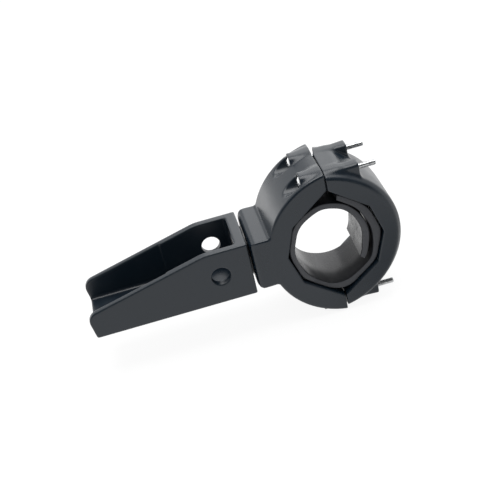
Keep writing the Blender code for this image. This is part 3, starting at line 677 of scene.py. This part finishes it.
def make_wear_and_highlight_group():
    """Edges, for the wear of hands and tools and, on the powder coat, also for a painted
    highlight: where a rounded normal turns away from the true one, broken up by noise that
    leaves a share of the mask everywhere."""
    tree, nodes, given, result = node_group(
        "edge_wear_and_highlight",
        (("Vector", "Vector", None), ("Width", "Float", 0.6 * MM), ("Patchiness", "Float", 160.0)),
        (("Mask", "Float"),),
    )
    bevel = nodes.add("ShaderNodeBevel", samples=6)
    nodes.put(bevel.inputs["Radius"], given["Width"])
    true = nodes.add("ShaderNodeNewGeometry").outputs["Normal"]
    dot = nodes.add("ShaderNodeVectorMath", operation="DOT_PRODUCT")
    nodes.put(dot.inputs[0], bevel.outputs[0])
    nodes.put(dot.inputs[1], true)
    edge = nodes.spread(dot.outputs["Value"], EDGE_FLAT, EDGE_TURNED)
    patches = nodes.noise(given["Vector"], given["Patchiness"], detail=4.0, roughness=0.6)
    patches = nodes.spread(patches, 0.38, 0.62, LEAST_WEAR_AND_HIGHLIGHT, 1.0)
    nodes.put(result["Mask"], nodes.math("MULTIPLY", edge, patches))
    return tree


def make_grain_group():
    """The skin of a powder coat or a moulded rubber: soft dimples with a finer grain on
    them, as a height, and slow clouds over the whole piece, as a tone."""
    tree, nodes, given, result = node_group(
        "surface_grain",
        (("Vector", "Vector", None), ("Dimples", "Float", 1100.0), ("Grain", "Float", 5200.0),
         ("Clouds", "Float", 26.0), ("Grain Share", "Float", 0.35)),
        (("Height", "Float"), ("Tone", "Float")),
    )
    dimples = nodes.noise(given["Vector"], given["Dimples"], detail=2.0, roughness=0.45)
    grain = nodes.noise(given["Vector"], given["Grain"], detail=2.0, roughness=0.5)
    nodes.put(result["Height"], nodes.math("MULTIPLY_ADD", grain, given["Grain Share"], dimples))
    clouds = nodes.noise(given["Vector"], given["Clouds"], detail=5.0, roughness=0.6)
    nodes.put(result["Tone"], nodes.spread(clouds, 0.3, 0.7))
    return tree


def make_streak_group():
    """Fine turning marks round a steel piece: noise that is long round the piece and
    short along its axis, X, as a height, and clouds as a tone."""
    tree, nodes, given, result = node_group(
        "turning_marks",
        (("Vector", "Vector", None), ("Fineness", "Float", 6000.0)),
        (("Height", "Float"), ("Tone", "Float")),
    )
    stretch = nodes.add("ShaderNodeVectorMath", operation="MULTIPLY")
    nodes.put(stretch.inputs[0], given["Vector"])
    nodes.put(stretch.inputs[1], MARK_STRETCH)
    marks = nodes.noise(stretch.outputs[0], given["Fineness"], detail=2.0, roughness=0.5)
    nodes.put(result["Height"], marks)
    clouds = nodes.noise(given["Vector"], STEEL_CLOUDS, detail=4.0, roughness=0.6)
    nodes.put(result["Tone"], nodes.spread(clouds, 0.32, 0.68))
    return tree


WEAR_AND_HIGHLIGHT = make_wear_and_highlight_group()
GRAIN = make_grain_group()
STREAKS = make_streak_group()


def new_material(name, **constants):
    """A material with a Principled shader, its plain numbers set on the shader's sockets,
    and the piece's Object coordinates."""
    made = bpy.data.materials.new(name)
    made.use_nodes = True
    nodes = Nodes(made.node_tree)
    shader = made.node_tree.nodes["Principled BSDF"]
    for key, value in constants.items():
        shader.inputs[key.replace("_", " ")].default_value = value
    place = nodes.add("ShaderNodeTexCoord").outputs["Object"]
    return made, nodes, shader, place


def bump(nodes, shader, height, strength, distance):
    """Feeds a height through a Bump node to the shader's normal."""
    node = nodes.add("ShaderNodeBump")
    nodes.put(node.inputs["Strength"], strength)
    nodes.put(node.inputs["Distance"], distance)
    nodes.put(node.inputs["Height"], height)
    nodes.put(shader.inputs["Normal"], node.outputs[0])


def make_powder_coat():
    """Satin black powder coat on an aluminium casting. Its edges are lighter, partly as wear and partly as
    a painted highlight.
    """
    made, nodes, shader, place = new_material("satin_black_powder_coat", IOR=1.5)
    grain = nodes.group(GRAIN, Vector=place, Dimples=1300.0, Grain=5200.0, Clouds=24.0, Grain_Share=0.3)
    edge_mask = nodes.group(WEAR_AND_HIGHLIGHT, Vector=place, Width=0.6 * MM, Patchiness=170.0)
    coat = nodes.mix(grain["Tone"], COAT_DEEP, COAT_PALE)
    # Lighter edges: partly wear, partly a painted highlight where the edges catch the light
    nodes.put(shader.inputs["Base Color"], nodes.mix(edge_mask["Mask"], coat, COAT_WORN_AND_HIGHLIT))
    nodes.put(shader.inputs["Roughness"], nodes.between(grain["Tone"], 0.27, 0.36))
    bump(nodes, shader, grain["Height"], strength=0.3, distance=0.05 * MM)
    return made


def make_glint_specks(nodes, place):
    """Grey specks painted on the rubber as a reflection, as a mask: in patches, close to
    the place of the specks."""
    apart = nodes.add("ShaderNodeVectorMath", operation="DISTANCE")
    nodes.put(apart.inputs[0], place)
    nodes.put(apart.inputs[1], GLINT_PLACE)
    near = nodes.spread(apart.outputs["Value"], GLINT_FROM, GLINT_TO)
    specks = nodes.spread(nodes.noise(place, SPECKS, detail=3.0, roughness=0.65), 0.42, 0.62)
    patches = nodes.spread(nodes.noise(place, PATCHES, detail=2.0, roughness=0.5), 0.36, 0.6)
    return nodes.math("MULTIPLY", near, nodes.math("MULTIPLY", specks, patches))


def make_rubber():
    """Moulded rubber with a fine grain. Near its front edge, away from its left and its inmost
    turn, it is rougher and painted darker as shade. Its front face is painted lighter, as
    painted light, and its inmost turn has grey specks that are a painted reflection."""
    made, nodes, shader, place = new_material("moulded_black_rubber", IOR=1.34)
    grain = nodes.group(GRAIN, Vector=place, Dimples=700.0, Grain=3300.0, Clouds=60.0, Grain_Share=0.8)
    parts = nodes.add("ShaderNodeSeparateXYZ")
    nodes.put(parts.inputs[0], place)
    x, y, z = (parts.outputs[axis] for axis in "XYZ")
    squares = nodes.math("ADD", nodes.math("MULTIPLY", x, x), nodes.math("MULTIPLY", z, z))
    inmost = nodes.spread(nodes.math("SQRT", squares), INMOST_FROM, INMOST_TO)
    # The share of the strip that is not painted darker as shade
    unshaded = nodes.math("MAXIMUM", nodes.spread(y, UNSHADED_FROM, UNSHADED_TO), inmost)
    unshaded = nodes.math("MAXIMUM", unshaded, nodes.spread(x, UNSHADED_LEFT_FROM, UNSHADED_LEFT_TO))
    glinting = nodes.math("MULTIPLY", make_glint_specks(nodes, place), inmost)
    # Painted shade: the colour is darker near the front edge
    rubber = nodes.mix(unshaded, RUBBER_SHADED, nodes.mix(grain["Tone"], RUBBER_DEEP, RUBBER_PALE))
    # Painted light: the front face is lighter
    rubber = nodes.mix(nodes.spread(y, FACE_FROM, FACE_TO), rubber, RUBBER_FACE_LIT)
    # Grey specks on the inmost turn: a painted reflection
    nodes.put(shader.inputs["Base Color"], nodes.mix(glinting, rubber, RUBBER_GLINT))
    rough = nodes.between(grain["Tone"], 0.19, 0.29)
    rough = nodes.math("ADD", rough, nodes.spread(unshaded, 1.0, 0.0, 0.0, SHADED_ROUGHNESS))
    rough = nodes.math("MULTIPLY_ADD", glinting, GLINT_ROUGHNESS, rough)
    nodes.put(shader.inputs["Roughness"], rough)
    bump(nodes, shader, grain["Height"], strength=0.4, distance=0.08 * MM)
    return made


def make_zinc():
    """Bright zinc plate on steel."""
    made, nodes, shader, place = new_material("bright_zinc_plate", Metallic=1.0)
    marks = nodes.group(STREAKS, Vector=place, Fineness=5200.0)
    nodes.put(shader.inputs["Base Color"], nodes.mix(marks["Tone"], ZINC_DEEP, ZINC_PALE))
    nodes.put(shader.inputs["Roughness"], nodes.between(marks["Tone"], 0.22, 0.12))
    bump(nodes, shader, marks["Height"], strength=0.25, distance=0.03 * MM)
    return made


def make_black_steel():
    """Black oxide on steel, oily, with wear down to bare metal at its edges."""
    made, nodes, shader, place = new_material("black_oxide_steel", Metallic=1.0)
    marks = nodes.group(STREAKS, Vector=place, Fineness=4200.0)
    edge_mask = nodes.group(WEAR_AND_HIGHLIGHT, Vector=place, Width=0.4 * MM, Patchiness=260.0)
    oxide = nodes.mix(marks["Tone"], OXIDE_DEEP, OXIDE_PALE)
    nodes.put(shader.inputs["Base Color"], nodes.mix(edge_mask["Mask"], oxide, OXIDE_WORN))
    nodes.put(shader.inputs["Roughness"], nodes.between(marks["Tone"], 0.34, 0.44))
    bump(nodes, shader, marks["Height"], strength=0.25, distance=0.03 * MM)
    return made


def make_nylon():
    """Black nylon, waxy."""
    made, nodes, shader, place = new_material("black_nylon", IOR=1.53)
    grain = nodes.group(GRAIN, Vector=place, Dimples=900.0, Grain=4000.0, Clouds=70.0, Grain_Share=0.3)
    nodes.put(shader.inputs["Base Color"], nodes.mix(grain["Tone"], NYLON_DEEP, NYLON_PALE))
    nodes.put(shader.inputs["Roughness"], nodes.between(grain["Tone"], 0.38, 0.5))
    bump(nodes, shader, grain["Height"], strength=0.3, distance=0.04 * MM)
    return made


POWDER_COAT = make_powder_coat()
RUBBER = make_rubber()
ZINC = make_zinc()
BLACK_STEEL = make_black_steel()
NYLON = make_nylon()


def finish_with(piece, made):
    """Gives a piece one material."""
    piece.data.materials.clear()
    piece.data.materials.append(made)


# Solids that keep their shape get their finish
finish_with(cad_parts["swivel_screw"], BLACK_STEEL)
finish_with(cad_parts["swivel_bush"], ZINC)
finish_with(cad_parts["friction_disc"], NYLON)
for place, _y, _z in SCREW_PLACES:
    finish_with(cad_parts["flat_washer_" + place], ZINC)
    finish_with(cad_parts["thread_insert_" + place], ZINC)


def stand_for(piece, made, body, node):
    """A new piece that stands for a solid, with its finish, on its body."""
    finish_with(piece, made)
    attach(piece, body)
    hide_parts(node)


for place, y, z in SCREW_PLACES:
    screw, washer = "clamp_screw_" + place, "lock_washer_" + place
    stand_for(make_screw(place, y, z), ZINC, screw, screw)
    stand_for(make_spring_washer(place, y, z), ZINC, "clamp_body", washer)
stand_for(make_strip(), RUBBER, "clamp_body", "rubber_liner")
stand_for(make_body(), POWDER_COAT, "clamp_body", "clamp_body")
stand_for(make_cap(), POWDER_COAT, "clamp_cap", "clamp_cap")
stand_for(make_fork(), POWDER_COAT, "fork", "fork")


# Studio

def make_camera():
    """The camera that took the photograph."""
    data = bpy.data.cameras.new("camera")
    data.lens = LENS
    data.sensor_width = SENSOR
    data.clip_start = CLIP_START
    camera = bpy.data.objects.new("camera", data)
    camera.location = EYE
    camera.rotation_euler = [math.radians(angle) for angle in EYE_TURN]
    bpy.context.scene.collection.objects.link(camera)
    bpy.context.scene.camera = camera


def seen_share(nodes):
    """1 for rays that see a thing straight, mirrored or through glass, and 0 for the rays
    of scattered light."""
    path = nodes.add("ShaderNodeLightPath").outputs
    seen = nodes.math("MAXIMUM", path["Is Camera Ray"], path["Is Glossy Ray"])
    return nodes.math("MAXIMUM", seen, path["Is Transmission Ray"])


def make_world():
    """A white room, seen at full strength, that lights the object at a softer one. Towards
    its front, behind the camera, wall and ceiling are dark, and only mirrored rays see
    that."""
    world = bpy.data.worlds.new("studio")
    world.use_nodes = True
    nodes = Nodes(world.node_tree)
    background = world.node_tree.nodes["Background"]
    nodes.put(background.inputs["Color"], WHITE)
    place = nodes.add("ShaderNodeTexCoord").outputs["Generated"]
    parts = nodes.add("ShaderNodeSeparateXYZ")
    nodes.put(parts.inputs[0], place)
    wall = nodes.spread(parts.outputs["Y"], WALL_FROM, WALL_TO, WALL_DARK, 1.0)
    mirrored = nodes.add("ShaderNodeLightPath").outputs["Is Glossy Ray"]
    straight = nodes.math("SUBTRACT", 1.0, mirrored)
    room = nodes.math("ADD", nodes.math("MULTIPLY", wall, mirrored), straight)
    plain = nodes.between(seen_share(nodes), ROOM_LIGHT, 1.0)
    nodes.put(background.inputs["Strength"], nodes.math("MULTIPLY", plain, room))
    bpy.context.scene.world = world


def floor_glow(nodes):
    """The strength of the floor's glow. Mirrored rays see it rise towards the back and the
    left, and they see a painted shadow on it, in front and right of the ring."""
    place = nodes.add("ShaderNodeSeparateXYZ")
    nodes.put(place.inputs[0], nodes.add("ShaderNodeTexCoord").outputs["Object"])
    x, y = place.outputs["X"], place.outputs["Y"]
    mirrored = nodes.add("ShaderNodeLightPath").outputs["Is Glossy Ray"]
    leftward = nodes.spread(x, LEFT_FROM, LEFT_TO, GLOW_RIGHT, GLOW_LEFT)
    rise = nodes.math("MULTIPLY", nodes.spread(y, BACK_FROM, BACK_TO), leftward)
    rise = nodes.math("MULTIPLY", rise, mirrored)
    # A painted shadow, in front and right of the ring, which only mirrored rays see
    sides = nodes.math("MULTIPLY", nodes.spread(y, *PAINTED_SHADOW_FRONT), nodes.spread(y, *PAINTED_SHADOW_BACK))
    painted_shadow = nodes.math("MULTIPLY", nodes.spread(x, *PAINTED_SHADOW_LEFT), sides)
    painted_shadow = nodes.math("MULTIPLY", painted_shadow, mirrored)
    return nodes.math("ADD", rise, nodes.math("MULTIPLY_ADD", painted_shadow, PAINTED_SHADOW_STRENGTH, FLOOR_GLOW))


def make_floor():
    """A pale floor that keeps the object's shadow, mixed with a glow where it is seen."""
    points = np.array([(-1, -1, 0), (1, -1, 0), (1, 1, 0), (-1, 1, 0)], float) * FLOOR_HALF
    points[:, 2] = FLOOR_LEVEL
    floor = mesh_piece("floor", points, [[0, 1, 2, 3]])
    made = bpy.data.materials.new("pale_floor")
    made.use_nodes = True
    nodes = Nodes(made.node_tree)
    made.node_tree.nodes.clear()
    diffuse = nodes.add("ShaderNodeBsdfDiffuse")
    nodes.put(diffuse.inputs["Color"], FLOOR_COLOUR)
    glow = nodes.add("ShaderNodeEmission")
    nodes.put(glow.inputs["Strength"], floor_glow(nodes))
    blend = nodes.add("ShaderNodeMixShader")
    nodes.put(blend.inputs[0], nodes.math("MULTIPLY", seen_share(nodes), GLOW_SHARE))
    nodes.put(blend.inputs[1], diffuse.outputs[0])
    nodes.put(blend.inputs[2], glow.outputs[0])
    nodes.put(nodes.add("ShaderNodeOutputMaterial").inputs["Surface"], blend.outputs[0])
    finish_with(floor, made)


def make_lamp(name, place, size, power):
    """A soft square lamp at a place, turned to the object and not seen itself."""
    data = bpy.data.lights.new(name, "AREA")
    data.shape = "SQUARE"
    data.size = size
    data.energy = power
    lamp = bpy.data.objects.new(name, data)
    lamp.location = place
    direction = np.array(LAMP_AIM) - np.array(place)
    lamp.rotation_euler = (
        math.acos(-direction[2] / np.linalg.norm(direction)),
        0.0,
        math.atan2(-direction[0], direction[1]),
    )
    lamp.visible_camera = False
    bpy.context.scene.collection.objects.link(lamp)


make_camera()
make_world()
make_floor()
make_lamp("back_lamp", BACK_LAMP_PLACE, BACK_LAMP_SIZE, BACK_LAMP_POWER)
make_lamp("top_lamp", TOP_LAMP_PLACE, TOP_LAMP_SIZE, TOP_LAMP_POWER)

bpy.context.scene.view_settings.view_transform = "Standard"
